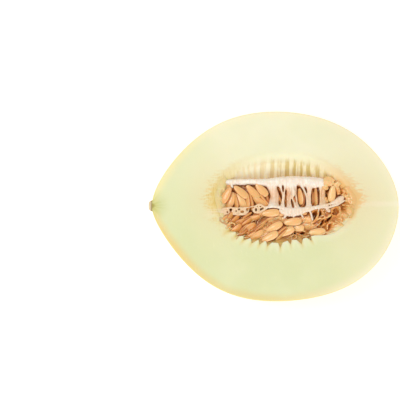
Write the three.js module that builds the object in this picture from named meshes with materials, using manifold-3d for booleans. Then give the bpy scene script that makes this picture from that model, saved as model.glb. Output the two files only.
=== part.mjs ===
// Half of a canary melon, cut lengthwise through its stem, lying on its rind with the cut face up.
// Millimetres, +Z up. X runs along the fruit from the stem end (-X) to the blossom end (+X),
// and the origin is on the resting spot, under the middle of the fruit.

import * as THREE from "three";
import { mergeVertices } from "three/addons/utils/BufferGeometryUtils.js";
import Module from "manifold-3d";

// The fruit's outline: a radius of sin(t) times a short cosine series of t, where t runs from 0 at
// the stem end to PI at the blossom end. The two sides of the cut differ a little, as grown.
const BODY_HALF_LENGTH = 94.3;
const BODY_MIDDLE_X = 0.8;
const SERIES_PLUS_Y = [67.5, -6.6, -7.4, -2.0, -1.9];
const SERIES_MINUS_Y = [68.2, -12.0, -6.9, -4.0, -2.3];
const CUT_HEIGHT = 71.6;
const LOBES = 10;
const LOBE_DEPTH = 0.5;
const STEM_SCAR_RADIUS = 3.9;
const STEM_SCAR_TIP_X = -95.1;
const STEM_SCAR_LENGTH = 10;

// The seed cavity: its rim in the cut face, and the deepest line under it. The open wall, at +Y, goes
// down in an even slope, as far as its share says: 0 is as steep as the other walls, 1 is a cone.
const CAVITY_RIM_X = 6.5;
const CAVITY_RIM_Y = 4;
const CAVITY_HALF_LENGTH = 58;
const CAVITY_HALF_WIDTH = 34.5;
const CAVITY_DEPTH = 31;
const CAVITY_DEEPEST_Y = -3;
const OPEN_WALL_SLOPE = 0.6;
const RIDGE_PITCH = 6.8;
const RIDGE_HEIGHT = 1.5;

// The pulp: a mound in the cavity that leaves one long wall free and grows to the flesh at both ends.
const FIT_GAP = 0.35;
const PULP_MIDDLE_X = 6.5;
const PULP_MIDDLE_Y = -6;
const PULP_HALF_LENGTH = 61;
const PULP_HALF_WIDTH = 27;
const PULP_TOP = CUT_HEIGHT - 6.5;
const PULP_UPPER_DROP = 9;
const PULP_LOWER_DROP = 4;
const PULP_END_RISE = 4;
const FIBRE_HEIGHT = 0.6;

// The seeds, which stand out of the pulp.
const SEED_LENGTH = 14.2;
const SEED_WIDTH = 6.4;
const SEED_THICKNESS = 2.6;
const FAN_SEEDS = 9;
const FAN_FROM_X = -37;
const FAN_TO_X = -10;
const END_SEEDS = 3;
const END_FROM_X = 37;
const END_TO_X = 43.8;
const ROW_FIRST_Y = -7.7;
const ROW_STEP = 6.2;
const ROW_SLANT = 3;
const ROW_ENDS = [
  [-38, 37],
  [-34, 37],
  [-25, 34],
  [-9, 25],
];
const SEED_STEP = 7;

// The pale tissue that carries the seeds: a band, a seam, and strands from one to the other.
// Each path is a few places along it, as [x, y, half width].
const TISSUE_TOP = CUT_HEIGHT - 0.6;
const BAND_HEIGHT = 11;
const BAND_PATH = [
  [-42, 17, 1.3],
  [-17, 18.6, 2],
  [-6, 18.4, 3.5],
  [18, 20, 3.9],
  [36, 19.2, 3.2],
  [45, 20.4, 1.2],
];
const SEAM_HEIGHT = 7;
const SEAM_PATH = [
  [-54, -0.5, 1.2],
  [-40, -3.5, 1.4],
  [-9, -2, 2],
  [12, -2.6, 3.4],
  [27, -2, 2],
  [36, 1, 1.6],
  [58, 5.5, 1.2],
];
const STRANDS = 9;
const STRAND_FIRST_X = -8;
const STRAND_PITCH = 5.2;
const STRAND_HEIGHT = 5;
const STRAND_SAG = 1.5;
const STRAND_HALF_WIDTH = 1.1;
const STRAND_FLARE = 1.6;

// Edges shorter than this are joined up.
const SLIVER = 0.03;

const wasm = await Module();
wasm.setup();

// A three.js geometry as a closed solid that can be joined and cut.
function toSolid(geometry) {
  const bare = geometry.clone();
  bare.deleteAttribute("normal");
  bare.deleteAttribute("uv");
  const merged = mergeVertices(bare, 1e-4);
  return new wasm.Manifold(
    new wasm.Mesh({
      numProp: 3,
      vertProperties: merged.attributes.position.array,
      triVerts: new Uint32Array(merged.index.array),
    }),
  );
}

// A solid as a three.js geometry, without the tiny slivers that joins and cuts leave.
function toGeometry(solid) {
  const mesh = solid.asOriginal().simplify(SLIVER).getMesh();
  const points = new Float32Array(mesh.numVert * 3);
  for (let i = 0; i < mesh.numVert; i++)
    points.set(mesh.vertProperties.subarray(i * mesh.numProp, i * mesh.numProp + 3), i * 3);
  const geometry = new THREE.BufferGeometry();
  geometry.setAttribute("position", new THREE.BufferAttribute(points, 3));
  geometry.setIndex(new THREE.BufferAttribute(mesh.triVerts, 1));
  geometry.computeVertexNormals();
  return geometry;
}

const joined = (solids) => solids.reduce((all, solid) => all.add(solid));

// The biggest of a solid's loose pieces: the scraps that a cut leaves are dropped.
function mainPiece(solid) {
  const pieces = solid.decompose();
  return pieces.reduce((a, b) => (b.volume() > a.volume() ? b : a));
}

// A grid of points as a closed solid: rows run from one end to the other, each row closes on itself
// counterclockwise as seen from the last row, and the end rows are closed by a fan.
function closedTube(rows) {
  const count = rows[0].length;
  const points = [...rows.flat(), middleOf(rows[0]), middleOf(rows.at(-1))];
  const first = rows.length * count;
  const faces = [];
  for (let i = 0; i + 1 < rows.length; i++)
    for (let j = 0; j < count; j++) {
      const a = i * count + j;
      const b = i * count + ((j + 1) % count);
      faces.push(a, b, b + count, a, b + count, a + count);
    }
  for (let j = 0; j < count; j++) {
    const next = (j + 1) % count;
    faces.push(first, next, j);
    faces.push(first + 1, first - count + j, first - count + next);
  }
  return toSolid(indexed(points, faces));
}

function middleOf(points) {
  const sum = points.reduce((total, p) => total.map((v, k) => v + p[k]), [0, 0, 0]);
  return sum.map((v) => v / points.length);
}

// Faces whose points fall together are dropped, so that a row may shrink to a point.
function indexed(points, faces) {
  const geometry = new THREE.BufferGeometry();
  geometry.setAttribute("position", new THREE.Float32BufferAttribute(points.flat(), 3));
  geometry.setIndex(faces);
  const merged = mergeVertices(geometry, 1e-4);
  const kept = [];
  const index = merged.index.array;
  for (let i = 0; i < index.length; i += 3) {
    const [a, b, c] = index.slice(i, i + 3);
    if (a !== b && b !== c && c !== a) kept.push(a, b, c);
  }
  merged.setIndex(kept);
  return merged;
}

// Random numbers spread evenly about a middle. A seed gives the same ones on every run.
function spreadFrom(seed) {
  let state = seed >>> 0;
  return (middle, spread) => {
    state = (state + 0x6d2b79f5) >>> 0;
    let mixed = Math.imul(state ^ (state >>> 15), state | 1);
    mixed ^= mixed + Math.imul(mixed ^ (mixed >>> 7), mixed | 61);
    return middle + spread * (((mixed ^ (mixed >>> 14)) >>> 0) / 2 ** 31 - 1);
  };
}

const mix = (a, b, share) => a + (b - a) * share;
const radians = THREE.MathUtils.degToRad;

// The fruit's radius at t along it and at an angle round it: 0 is +Y, PI / 2 is down, PI is -Y.
function fruitRadius(t, angle) {
  const side = (series) => series.reduce((sum, c, k) => sum + c * Math.cos(k * t), 0);
  const share = (1 - Math.cos(angle)) / 2;
  const lobe = LOBE_DEPTH * Math.sin(t) * Math.sin(angle) ** 2 * Math.cos(LOBES * angle);
  return Math.sin(t) * (mix(side(SERIES_PLUS_Y), side(SERIES_MINUS_Y), share) + lobe);
}

// Half a body of revolution about X, below the cut face: x and radius are functions of t.
function halfBody(steps, sides, xAt, radiusAt) {
  const rows = [];
  for (let i = steps; i >= 0; i--) {
    const t = (Math.PI * i) / steps;
    const row = [];
    for (let j = 0; j <= sides; j++) {
      const angle = (Math.PI * j) / sides;
      const r = radiusAt(t, angle);
      const down = j === 0 || j === sides ? 0 : r * Math.sin(angle);
      row.push([xAt(t), r * Math.cos(angle), CUT_HEIGHT - down]);
    }
    rows.push(row);
  }
  return closedTube(rows);
}

function box(low, high) {
  const size = high.map((v, k) => v - low[k]);
  const geometry = new THREE.BoxGeometry(...size);
  geometry.translate(...low.map((v, k) => v + size[k] / 2));
  return toSolid(geometry);
}

// The whole half fruit, still without its cavity, standing on a small flat spot.
function halfFruit() {
  const body = halfBody(36, 30, (t) => BODY_MIDDLE_X - BODY_HALF_LENGTH * Math.cos(t), fruitRadius);
  const scarMiddle = STEM_SCAR_TIP_X + STEM_SCAR_LENGTH / 2;
  const scar = halfBody(
    7,
    11,
    (t) => scarMiddle - (STEM_SCAR_LENGTH / 2) * Math.cos(t),
    (t) => STEM_SCAR_RADIUS * Math.sqrt(Math.sin(t)),
  );
  const under = box([-100, -100, -10], [100, 100, 0]);
  return body.add(scar).subtract(under);
}

// A rounded oblong outline as an offset from its middle. A power of 1 gives an ellipse.
function oblong(angle, halfLength, halfWidth, powerX, powerY) {
  const x = halfLength * Math.sign(Math.cos(angle)) * Math.abs(Math.cos(angle)) ** powerX;
  const y = halfWidth * Math.sign(Math.sin(angle)) * Math.abs(Math.sin(angle)) ** powerY;
  return [x, y];
}

// Ridges across the cavity's long walls, strongest half way down.
function ridgeHeight(angle, share) {
  return RIDGE_HEIGHT * Math.abs(Math.sin(angle)) * Math.sin(Math.PI * Math.min(1, share + 0.12));
}

// The cavity as a solid bowl. A gap makes it smaller all round, for what fits inside it.
function cavityBowl(around, down, gap) {
  const rows = [];
  for (let i = down; i >= -1; i--) {
    const share = Math.max(0, i / down);
    const bend = (share * Math.PI) / 2;
    const row = [];
    for (let j = 0; j < around; j++) {
      const angle = (2 * Math.PI * j) / around;
      const slope = OPEN_WALL_SLOPE * Math.max(0, Math.sin(angle)) ** 0.7;
      const reach = mix(Math.cos(bend) ** 0.8, 1 - Math.sin(bend), slope);
      const [dx, dy] = oblong(angle, CAVITY_HALF_LENGTH, CAVITY_HALF_WIDTH, 0.9, 1.1);
      const size = Math.hypot(dx, dy);
      const x = CAVITY_RIM_X + dx * reach;
      const wave = gap ? -1 : Math.cos((2 * Math.PI * x) / RIDGE_PITCH + Math.sin(x / 9));
      const push = (ridgeHeight(angle, share) * wave - gap) * reach;
      const middleY = mix(CAVITY_RIM_Y, CAVITY_DEEPEST_Y, Math.sin(bend));
      const z = i < 0 ? CUT_HEIGHT + 6 : CUT_HEIGHT - (CAVITY_DEPTH - gap) * Math.sin(bend);
      row.push([x + (dx / size) * push, middleY + dy * reach + (dy / size) * push, z]);
    }
    rows.push(row);
  }
  return closedTube(rows);
}

// The height of the pulp at a place: it falls off to both sides, most to the open one, and rises to
// meet the flesh at both ends.
function pulpTop(x, y) {
  const along = Math.abs(x - PULP_MIDDLE_X) / PULP_HALF_LENGTH;
  const across = Math.abs(y - PULP_MIDDLE_Y) / PULP_HALF_WIDTH;
  const drop = y > PULP_MIDDLE_Y ? PULP_UPPER_DROP : PULP_LOWER_DROP;
  return PULP_TOP + PULP_END_RISE * along ** 6 - drop * across ** 6;
}

// The mound of pulp, with fibres that run out from its middle. It reaches past the cavity's wall,
// and is cut to it afterwards.
function pulp(grow) {
  const around = 40;
  const rows = [];
  const ring = (reach, bottom) => {
    const row = [];
    for (let j = 0; j < around; j++) {
      const angle = (2 * Math.PI * j) / around;
      const [dx, dy] = oblong(angle, PULP_HALF_LENGTH, PULP_HALF_WIDTH, 0.6, 0.6);
      const x = PULP_MIDDLE_X + dx * reach;
      const y = PULP_MIDDLE_Y + dy * reach;
      const fibre = reach * (j % 2 ? FIBRE_HEIGHT : -FIBRE_HEIGHT);
      row.push([x, y, bottom ?? pulpTop(x, y) + fibre + grow]);
    }
    rows.push(row);
  };
  ring(0.85, CUT_HEIGHT - CAVITY_DEPTH - 1);
  ring(1 + grow / PULP_HALF_WIDTH);
  for (const reach of [0.9, 0.75, 0.5, 0.25]) ring(reach);
  return closedTube(rows);
}

// One seed along X: flat, with its point at -X and its round end at +X.
function seed(grow) {
  const rows = [];
  const steps = 5;
  const sides = 6;
  for (let i = 0; i <= steps; i++) {
    const t = (Math.PI * i) / steps;
    const swell = Math.sin(t) ** 0.8 * (1 - 0.2 * Math.cos(t));
    const row = [];
    for (let j = 0; j < sides; j++) {
      const angle = (2 * Math.PI * j) / sides;
      row.push([
        -(SEED_LENGTH / 2 + grow) * Math.cos(t),
        (SEED_WIDTH / 2 + grow) * swell * Math.cos(angle),
        (SEED_THICKNESS / 2 + grow) * swell * Math.sin(angle),
      ]);
    }
    rows.push(row);
  }
  return closedTube(rows);
}

// Each seed lies at an x and a y, a lift above the pulp, and three turns in degrees: the heading is
// the way its round end points in plan, the pitch lifts that end, and the roll turns it on edge.

// On the left, above the seam, they fan out, every other one on top of its neighbours.
function fanSeeds(about) {
  return Array.from({ length: FAN_SEEDS }, (_, i) => {
    const share = i / (FAN_SEEDS - 1);
    const onTop = i % 2 === 0;
    return {
      x: mix(FAN_FROM_X, FAN_TO_X, share),
      y: about(onTop ? 9 : 6, 1),
      lift: onTop ? 2.8 : 1.2,
      heading: -mix(110, onTop ? 45 : 85, share),
      pitch: onTop ? -14 : -5,
      roll: about(0, onTop ? 12 : 55),
    };
  });
}

// One stands on edge in each gap between two strands.
function edgeSeeds(about) {
  return Array.from({ length: STRANDS - 1 }, (_, i) => ({
    x: about(STRAND_FIRST_X + (i + 0.5) * STRAND_PITCH, 0.3),
    y: about(7, 1),
    lift: about(0.7, 0.5),
    heading: about(-90, 5),
    pitch: about(0, 6),
    roll: about(78, 8),
  }));
}

// To the right of the strands they turn from on edge to flat.
function endSeeds(about) {
  return Array.from({ length: END_SEEDS }, (_, i) => ({
    x: mix(END_FROM_X, END_TO_X, i / (END_SEEDS - 1)),
    y: about(10.5, 1),
    lift: 1.4,
    heading: about(-98, 8),
    pitch: about(-8, 4),
    roll: mix(60, 0, i / (END_SEEDS - 1)),
  }));
}

// Below the seam they lie in rows like roof tiles, each over the point of the next.
function rowSeeds(about, [fromX, toX], row) {
  const steps = Math.round((toX - fromX) / SEED_STEP);
  return Array.from({ length: steps + 1 }, (_, i) => {
    const share = i / steps;
    return {
      x: about(mix(fromX, toX, share), 1),
      y: about(ROW_FIRST_Y - ROW_STEP * row + ROW_SLANT * share, 1),
      lift: about(1.8, 0.5),
      heading: about(mix(36, -10, share), 10),
      pitch: about(15, 4),
      roll: about(0, 24),
    };
  });
}

function seedPlaces() {
  const about = spreadFrom(11);
  const above = [...fanSeeds(about), ...edgeSeeds(about), ...endSeeds(about)];
  return [...above, ...ROW_ENDS.flatMap((ends, row) => rowSeeds(about, ends, row))];
}

function seeds(grow) {
  return seedPlaces().map(({ x, y, lift, heading, pitch, roll }) => {
    const turn = new THREE.Euler(radians(roll), -radians(pitch), radians(heading), "ZYX");
    const place = new THREE.Matrix4().makeRotationFromEuler(turn);
    place.setPosition(x, y, pulpTop(x, y) + lift);
    return seed(grow).transform(place.elements);
  });
}

// A soft bar along a path from 0 to 1, given as its middle and its half width. Its section stands
// upright, square to the path in plan.
function bar(steps, pathAt, halfHeight) {
  const sides = 8;
  const rows = [];
  for (let i = 0; i <= steps; i++) {
    const share = i / steps;
    const [x, y, z, halfWidth] = pathAt(share);
    const ahead = pathAt(share + 0.01);
    const behind = pathAt(share - 0.01);
    const size = Math.hypot(ahead[0] - behind[0], ahead[1] - behind[1]);
    const side = [(behind[1] - ahead[1]) / size, (ahead[0] - behind[0]) / size];
    const row = [];
    for (let j = 0; j < sides; j++) {
      const angle = (2 * Math.PI * (j + 0.5)) / sides;
      const [across, up] = oblong(angle, halfWidth, halfHeight, 0.7, 0.7);
      row.push([x + side[0] * across, y + side[1] * across, z + up]);
    }
    rows.push(row);
  }
  return closedTube(rows);
}

// A path through places given as [x, y, half width], with its middle half a bar below the top.
function tissuePath(places, height) {
  const curve = new THREE.CatmullRomCurve3(places.map((place) => new THREE.Vector3(...place)));
  return (share) => {
    const [x, y, halfWidth] = curve.getPoint(THREE.MathUtils.clamp(share, 0, 1)).toArray();
    return [x, y, TISSUE_TOP - height / 2, halfWidth];
  };
}

// Where a path that runs along X reaches a given x, as its y.
function yWhere(pathAt, x) {
  let share = 0;
  while (share < 1 && pathAt(share)[0] < x) share += 0.01;
  return pathAt(share)[1];
}

// The strands hang from the band to the seam, between the seeds that stand on edge.
function strands(bandAt, seamAt) {
  const about = spreadFrom(5);
  const solids = [];
  for (let i = 0; i < STRANDS; i++) {
    const fromX = about(STRAND_FIRST_X + i * STRAND_PITCH, 0.5);
    const toX = fromX + about(0, 1.2);
    const sway = about(0, 0.8);
    const halfWidth = about(STRAND_HALF_WIDTH, 0.4);
    const fromY = yWhere(bandAt, fromX);
    const toY = yWhere(seamAt, toX);
    const pathAt = (share) => [
      mix(fromX, toX, share) + sway * Math.sin(2 * Math.PI * share),
      mix(fromY, toY, share),
      TISSUE_TOP - STRAND_HEIGHT / 2 - STRAND_SAG * Math.sin(Math.PI * share),
      halfWidth + STRAND_FLARE * Math.abs(2 * share - 1) ** 3,
    ];
    solids.push(bar(6, pathAt, STRAND_HEIGHT / 2));
  }
  return solids;
}

// The band, the seam and the strands as one body, clear of the pulp and the seeds.
function tissue() {
  const bandAt = tissuePath(BAND_PATH, BAND_HEIGHT);
  const seamAt = tissuePath(SEAM_PATH, SEAM_HEIGHT);
  const band = bar(22, bandAt, BAND_HEIGHT / 2);
  const seam = bar(24, seamAt, SEAM_HEIGHT / 2);
  const whole = joined([band, seam, ...strands(bandAt, seamAt)]);
  return whole.subtract(pulp(FIT_GAP)).subtract(joined(seeds(FIT_GAP)));
}

const flesh = halfFruit().subtract(cavityBowl(120, 9, 0));
const inside = cavityBowl(60, 9, FIT_GAP + 0.1);
const filling = joined([pulp(0), ...seeds(0)]).intersect(inside);

const finishes = {
  melon_half: { color: 0xf6c90e, roughness: 0.45 },
  seeds_and_pulp: { color: 0xe9b47c, roughness: 0.4 },
  placenta: { color: 0xf8dccb, roughness: 0.4 },
};
const solids = {
  melon_half: flesh,
  seeds_and_pulp: mainPiece(filling),
  placenta: mainPiece(tissue().intersect(inside)),
};

const melon = new THREE.Group();
for (const [name, solid] of Object.entries(solids)) {
  const finish = new THREE.MeshStandardMaterial({ ...finishes[name], metalness: 0 });
  const mesh = new THREE.Mesh(toGeometry(solid), finish);
  mesh.name = name;
  melon.add(mesh);
}

export default melon;
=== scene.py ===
import math

import bmesh
import bpy
import numpy as np
from mathutils import Euler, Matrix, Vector, noise


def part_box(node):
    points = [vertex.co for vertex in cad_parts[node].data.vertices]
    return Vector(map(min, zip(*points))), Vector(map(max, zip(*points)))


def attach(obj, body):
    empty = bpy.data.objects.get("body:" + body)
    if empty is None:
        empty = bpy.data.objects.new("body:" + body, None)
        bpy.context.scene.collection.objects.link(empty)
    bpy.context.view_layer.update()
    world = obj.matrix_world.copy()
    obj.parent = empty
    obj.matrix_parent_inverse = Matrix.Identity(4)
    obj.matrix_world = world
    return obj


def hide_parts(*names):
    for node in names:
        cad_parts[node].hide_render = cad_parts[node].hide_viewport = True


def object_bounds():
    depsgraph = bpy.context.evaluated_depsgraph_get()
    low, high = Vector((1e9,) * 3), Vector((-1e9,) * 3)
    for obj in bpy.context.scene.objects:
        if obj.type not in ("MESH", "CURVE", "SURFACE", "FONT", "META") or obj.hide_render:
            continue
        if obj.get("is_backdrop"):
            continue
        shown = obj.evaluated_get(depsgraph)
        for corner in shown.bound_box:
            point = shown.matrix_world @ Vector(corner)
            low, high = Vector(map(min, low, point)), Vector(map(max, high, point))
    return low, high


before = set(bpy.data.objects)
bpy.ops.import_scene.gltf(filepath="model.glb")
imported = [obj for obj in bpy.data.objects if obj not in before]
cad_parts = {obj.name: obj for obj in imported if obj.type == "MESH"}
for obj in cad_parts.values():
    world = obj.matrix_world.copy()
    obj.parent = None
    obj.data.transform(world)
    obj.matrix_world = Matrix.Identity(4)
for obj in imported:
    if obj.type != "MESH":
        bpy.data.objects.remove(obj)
cad_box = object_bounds()

# Half of a canary melon, lying on its rind with its cut face up. Lengths are in millimetres up to
# the point where a mesh is made. X runs from the stem end to the blossom end, and Z is up.
MM = 0.001

# The frame of the photograph, as a place on the cut face and the width that is seen there.
AIM_X = -56.7
AIM_Y = 4.4
FRAME_WIDTH = 305.8
LENS = 100.0
SENSOR_WIDTH = 36.0
CAMERA_ELEVATION = 84.0

# The fruit's outline, as in the part's source.
BODY_HALF_LENGTH = 94.3
BODY_MIDDLE_X = 0.8
SERIES_PLUS_Y = [67.5, -6.6, -7.4, -2.0, -1.9]
SERIES_MINUS_Y = [68.2, -12.0, -6.9, -4.0, -2.3]
CUT_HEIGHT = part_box("melon_half")[1].z / MM
LOBES = 10
LOBE_DEPTH = 0.5
WRINKLE_DEPTH = 0.45
STEM_SCAR_RADIUS = 4.4
STEM_SCAR_TIP_X = -96.0
STEM_SCAR_LENGTH = 8
SCAR_DROP = 0.05
STEM_TINT_REACH = 15
VEIN_Y = 1.5

# The seed cavity.
CAVITY_RIM_X = 6.5
CAVITY_RIM_Y = 4
CAVITY_HALF_LENGTH = 58
RIM_LENGTH_STEM = 49
RIM_LENGTH_BLOSSOM = 54
RIM_LENGTH_OPEN_SIDE = 49
CAVITY_HALF_WIDTH = 34.5
FACING_SCALE_X = 1.5
FACING_SCALE_Y = 1.8
CAVITY_DEPTH = 31
CAVITY_DEEPEST_Y = -3
OPEN_WALL_SLOPE = 0.6
WALL_FOOT_DEPTH = 5
WALL_FOOT_SLOPE = 0.5
RIDGE_PITCH = 5.6
RIDGE_HEIGHT = 1.1
LIP_UPPER = 3.0
LIP_LOWER = 1.0
NOTCH_LENGTH = 4.0
TOOTH_FALL = 6.0
NOTCH_FALL = 3.6
NOTCH_FADE = 4.2
TOOTH_FADE = 5

# The pulp and the seeds.
PULP_MIDDLE_X = 6.5
PULP_MIDDLE_Y = -6
PULP_HALF_LENGTH = 61
PULP_HALF_WIDTH = 27
PULP_TOP = CUT_HEIGHT - 6.5
PULP_UPPER_DROP = 9
PULP_STEM_DROP = 4
PULP_LOWER_RISE = 4.6
BLOSSOM_RISE = 3.2
LOWER_RIM_RISE = 2.6
PULP_END_GAP = 0.06
PULP_REACH = 1.13
BED_MIDDLE_Y = -3
BED_HALF_WIDTH = 34
BED_FLOOR = CUT_HEIGHT - CAVITY_DEPTH + 2
SEED_LENGTH = 13.4
SEED_WIDTH = 6.3
SEED_THICKNESS = 2.3
FLAT_SEED_ROLL = 9
FLAT_SEED_TONE = 0.7
TURNED_SEED_TONE = 0.45
SEED_TONE_SPREAD = 0.2

# The pale tissue over them.
TISSUE_TOP = CUT_HEIGHT - 0.6
BAND_HEIGHT = 11
SEAM_HEIGHT = 4
SEAM_FIBRES_Y = -5.5
STRANDS_Y = 7.5
TISSUE_VOXEL = 0.42
PROUD = 0.25
FIBRE_RISE = 0.8
FIBRE_COUNT = 16
FIBRE_ANGLES = (-36, 12)
LOOP_COUNT = 16
THREAD_COUNT = 70

# How fine the grids of the fruit and of the pulp are, and in how many parts, to save memory, the
# distances between points are taken.
BODY_ROWS = 330
BODY_COLUMNS = 84
FACE_ROWS = 16
WALL_ROWS = 50
BED_COLUMNS = 520
BED_RINGS = 110
NEAREST_PARTS = 20

# An edge that turns by more degrees than this stays crisp, and points nearer than a gap are merged.
SHARP_ANGLE = 50
MERGE_GAP = 0.002
SEED_MERGE_GAP = 0.001

# What the random draws start from.
SEEDS_DRAW = 31
THREADS_DRAW = 47
LOOPS_DRAW = 61
FIBRES_DRAW = 83
WORD_MASK = 0xFFFFFFFF


def spread_from(seed):
    """Random numbers spread evenly about a middle. A seed gives the same ones on every run."""
    state = seed & WORD_MASK

    def about(middle, spread):
        nonlocal state
        state = (state + 0x6D2B79F5) & WORD_MASK
        mixed = ((state ^ (state >> 15)) * (state | 1)) & WORD_MASK
        mixed ^= (mixed + (mixed ^ (mixed >> 7)) * (mixed | 61)) & WORD_MASK
        return middle + spread * ((mixed ^ (mixed >> 14)) / 2**31 - 1)

    return about


def mix(a, b, share):
    return a + (b - a) * share


def smooth_step(low, high, value):
    share = np.clip((value - low) / (high - low), 0, 1)
    return share * share * (3 - 2 * share)


def ripple(points, stretch, seed):
    """Soft noise from -1 to 1 at each point, with a wavelength in millimetres along each axis."""
    scaled = np.asarray(points) / np.asarray(stretch) + seed * 17.3
    return np.array([noise.noise(Vector(p)) for p in scaled.reshape(-1, 3)]).reshape(scaled.shape[:-1])


def srgb(red, green, blue):
    """A colour given in 0 to 255 as it shows on a screen, as the linear one that a shader takes."""
    linear = [(c / 255) ** 2.2 for c in (red, green, blue)]
    return (*linear, 1.0)


# Meshes


def xyz(x, y, z):
    """Places as one array, with X, Y and Z along its last axis."""
    return np.stack(np.broadcast_arrays(x, y, z), axis=-1)


def grid_faces(rows, columns, closed):
    """The quads of a grid of points, row by row. A closed grid joins its last column to its first."""
    last = columns if closed else columns - 1
    i, j = np.meshgrid(np.arange(rows - 1), np.arange(last), indexing="ij")
    a = (i * columns + j).ravel()
    b = (i * columns + (j + 1) % columns).ravel()
    return np.stack([a, b, b + columns, a + columns], axis=1)


def in_scene(name, data):
    """A new object in the scene."""
    new = bpy.data.objects.new(name, data)
    bpy.context.scene.collection.objects.link(new)
    return new


def mesh_object(name, points, faces, attributes=None, materials=(), material_of_face=None, merge=0.0):
    """A smooth mesh with a float attribute for each entry of attributes, its normals facing out."""
    mesh = bpy.data.meshes.new(name)
    mesh.from_pydata((np.asarray(points, float) * MM).tolist(), [], [list(face) for face in faces])
    for key, values in (attributes or {}).items():
        layer = mesh.attributes.new(key, "FLOAT", "POINT")
        layer.data.foreach_set("value", np.asarray(values, np.float32).ravel())
    for material in materials:
        mesh.materials.append(material)
    if material_of_face is not None:
        mesh.polygons.foreach_set("material_index", np.asarray(material_of_face, np.int32))
    work = bmesh.new()
    work.from_mesh(mesh)
    if merge:
        bmesh.ops.remove_doubles(work, verts=work.verts, dist=merge * MM)
    bmesh.ops.recalc_face_normals(work, faces=work.faces)
    work.to_mesh(mesh)
    work.free()
    mesh.shade_smooth()
    return in_scene(name, mesh)


def finished(piece, slot, *nodes):
    """Puts a piece on the one body that there is, in place of the nodes that it stands for."""
    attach(piece, "root")
    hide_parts(*nodes)
    return piece


# Materials


class Shader:
    """A material's nodes, with one short call for each kind that is used here."""

    def __init__(self, name):
        self.material = bpy.data.materials.new(name)
        self.material.use_nodes = True
        self.tree = self.material.node_tree
        self.surface = self.tree.nodes["Principled BSDF"]

    def feed(self, socket, value):
        if isinstance(value, bpy.types.NodeSocket):
            self.tree.links.new(value, socket)
        else:
            socket.default_value = value

    def node(self, kind, inputs, output=0, **settings):
        new = self.tree.nodes.new(kind)
        for key, value in settings.items():
            setattr(new, key, value)
        for key, value in inputs.items():
            self.feed(new.inputs[key], value)
        return new.outputs[output]

    def attribute(self, name):
        return self.node("ShaderNodeAttribute", {}, "Fac", attribute_name=name)

    def place(self, axis):
        """How far a point lies along X, Y or Z, in millimetres."""
        position = self.node("ShaderNodeTexCoord", {}, "Object")
        return self.times(self.node("ShaderNodeSeparateXYZ", {0: position}, axis), 1 / MM)

    def noise(self, size, detail=2.0, stretch=(1, 1, 1), distortion=0.0):
        """Noise from 0 to 1 with features of a size in millimetres, longer along an axis by its stretch."""
        position = self.node("ShaderNodeTexCoord", {}, "Object")
        scale = tuple(1 / (size * MM * s) for s in stretch)
        scaled = self.node("ShaderNodeMapping", {"Vector": position, "Scale": scale}, vector_type="POINT")
        settings = {"Vector": scaled, "Scale": 1.0, "Detail": detail, "Distortion": distortion}
        return self.node("ShaderNodeTexNoise", settings, "Fac")

    def math(self, operation, a, b=0.0):
        return self.node("ShaderNodeMath", {0: a, 1: b}, operation=operation)

    def times(self, product, *factors):
        for factor in factors:
            product = self.math("MULTIPLY", product, factor)
        return product

    def plus(self, a, b):
        return self.math("ADD", a, b)

    def away(self, axis, middle):
        """How far a point lies from a middle on X, Y or Z, on either side of it."""
        return self.math("ABSOLUTE", self.math("SUBTRACT", self.place(axis), middle))

    def ragged(self, value, noise, amount):
        """A value moved up and down by noise, by half an amount each way."""
        return self.plus(value, self.times(self.math("SUBTRACT", noise, 0.5), amount))

    def step(self, value, low, high, to_low=0.0, to_high=1.0):
        """A smooth step from to_low to to_high, as value goes from low to high."""
        inputs = {"Value": value, "From Min": low, "From Max": high, "To Min": to_low, "To Max": to_high}
        return self.node("ShaderNodeMapRange", inputs, interpolation_type="SMOOTHSTEP")

    def ramp(self, axis, *ends):
        """A smooth step along X, Y or Z."""
        return self.step(self.place(axis), *ends)

    def mix(self, share, a, b):
        """Two colours, each a node's or red, green and blue from 0 to 255."""
        a, b = (srgb(*color) if isinstance(color, tuple) else color for color in (a, b))
        return self.node("ShaderNodeMix", {0: share, 6: a, 7: b}, 2, data_type="RGBA")

    def over(self, color, *coats):
        """A colour with others over it, each given as the share that it covers and the colour."""
        for share, coat in coats:
            color = self.mix(share, color, coat)
        return color

    def bump(self, height, depth, strength=1.0):
        """Relief of a depth in millimetres."""
        inputs = {"Height": height, "Distance": depth * MM, "Strength": strength}
        self.feed(self.surface.inputs["Normal"], self.node("ShaderNodeBump", inputs))

    def finish(self, color, roughness, **constants):
        self.feed(self.surface.inputs["Base Color"], color)
        self.feed(self.surface.inputs["Roughness"], roughness)
        for key, value in constants.items():
            self.surface.inputs[key.replace("_", " ")].default_value = value
        return self.material


def with_seam_fibres(s, color):
    """Pale fibres over a colour, where the seam runs on into the flesh at the stem end."""
    across = s.step(s.away("Y", SEAM_FIBRES_Y), 5.5, 1.0)
    fibre = s.step(s.noise(0.8, stretch=(9, 1, 1)), 0.42, 0.64, 0.05, 0.55)
    along = s.times(s.ramp("X", -57, -47), s.ramp("X", -34, -39))
    return s.mix(s.times(across, fibre, along), color, (246, 228, 192))


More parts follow.
